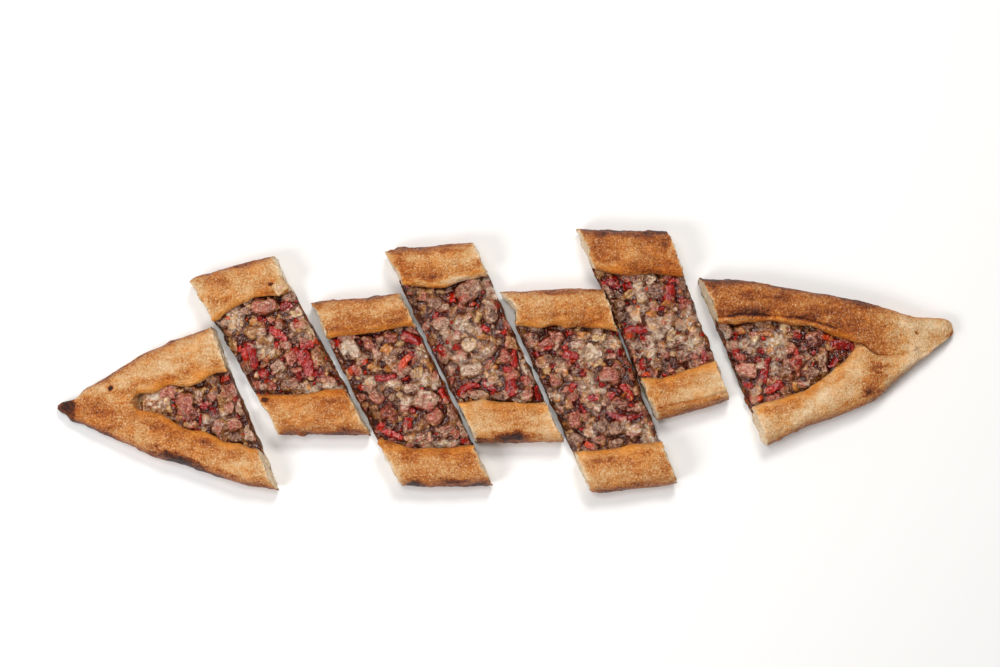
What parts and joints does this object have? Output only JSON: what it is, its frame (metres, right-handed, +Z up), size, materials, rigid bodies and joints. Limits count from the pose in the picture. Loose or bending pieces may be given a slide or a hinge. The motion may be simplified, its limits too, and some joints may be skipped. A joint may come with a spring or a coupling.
{
  "type": "boat-shaped meat flatbread",
  "caption": "Long boat-shaped flatbread with thick folded rims round diced meat, peppers, onion and melted cheese, cut on the slant into slices that lie staggered.",
  "frame": {"origin": "on the surface that the slices lie on, under the middle of the whole row of slices", "axes": "+X along the row, towards the blunter tip at the picture's right; +Y towards the side that is farthest from the viewer in the picture; +Z up"},
  "size_m": [0.539, 0.1586, 0.0251],
  "materials": {
    "crust": "baked dough: golden tan crust with browned and floury patches, orange along the inner edges, cream crumb at the cuts",
    "meat_filling": "moist cooked filling: grey-brown diced meat bound with melted off-white cheese and orange juices",
    "pepper": "cooked red pepper, glossy and wet",
    "onion": "cooked onion, pale yellow and slightly see-through"
  },
  "bodies": {
    "root": {"bread_1": "crust", "bread_2": "crust", "bread_3": "crust", "bread_4": "crust", "bread_5": "crust", "bread_6": "crust", "bread_7": "crust", "filling_1": "meat_filling", "filling_2": "meat_filling", "filling_3": "meat_filling", "filling_4": "meat_filling", "filling_5": "meat_filling", "filling_6": "meat_filling", "filling_7": "meat_filling", "pepper_strip_2a": "pepper", "pepper_strip_2b": "pepper", "pepper_strip_2c": "pepper", "pepper_strip_2d": "pepper", "pepper_strip_3a": "pepper", "pepper_strip_3b": "pepper", "pepper_strip_3c": "pepper", "pepper_strip_3d": "pepper", "pepper_strip_3e": "pepper", "pepper_strip_4a": "pepper", "pepper_strip_4b": "pepper", "pepper_strip_4c": "pepper", "pepper_strip_4d": "pepper", "pepper_strip_4e": "pepper", "pepper_strip_5a": "pepper", "pepper_strip_5b": "pepper", "pepper_strip_5c": "pepper", "pepper_strip_5d": "pepper", "pepper_strip_6a": "pepper", "pepper_strip_6b": "pepper", "pepper_strip_6c": "pepper", "pepper_strip_7a": "pepper", "pepper_strip_7b": "pepper", "pepper_strip_7c": "pepper", "onion_flake": "onion"}
  },
  "joints": []
}
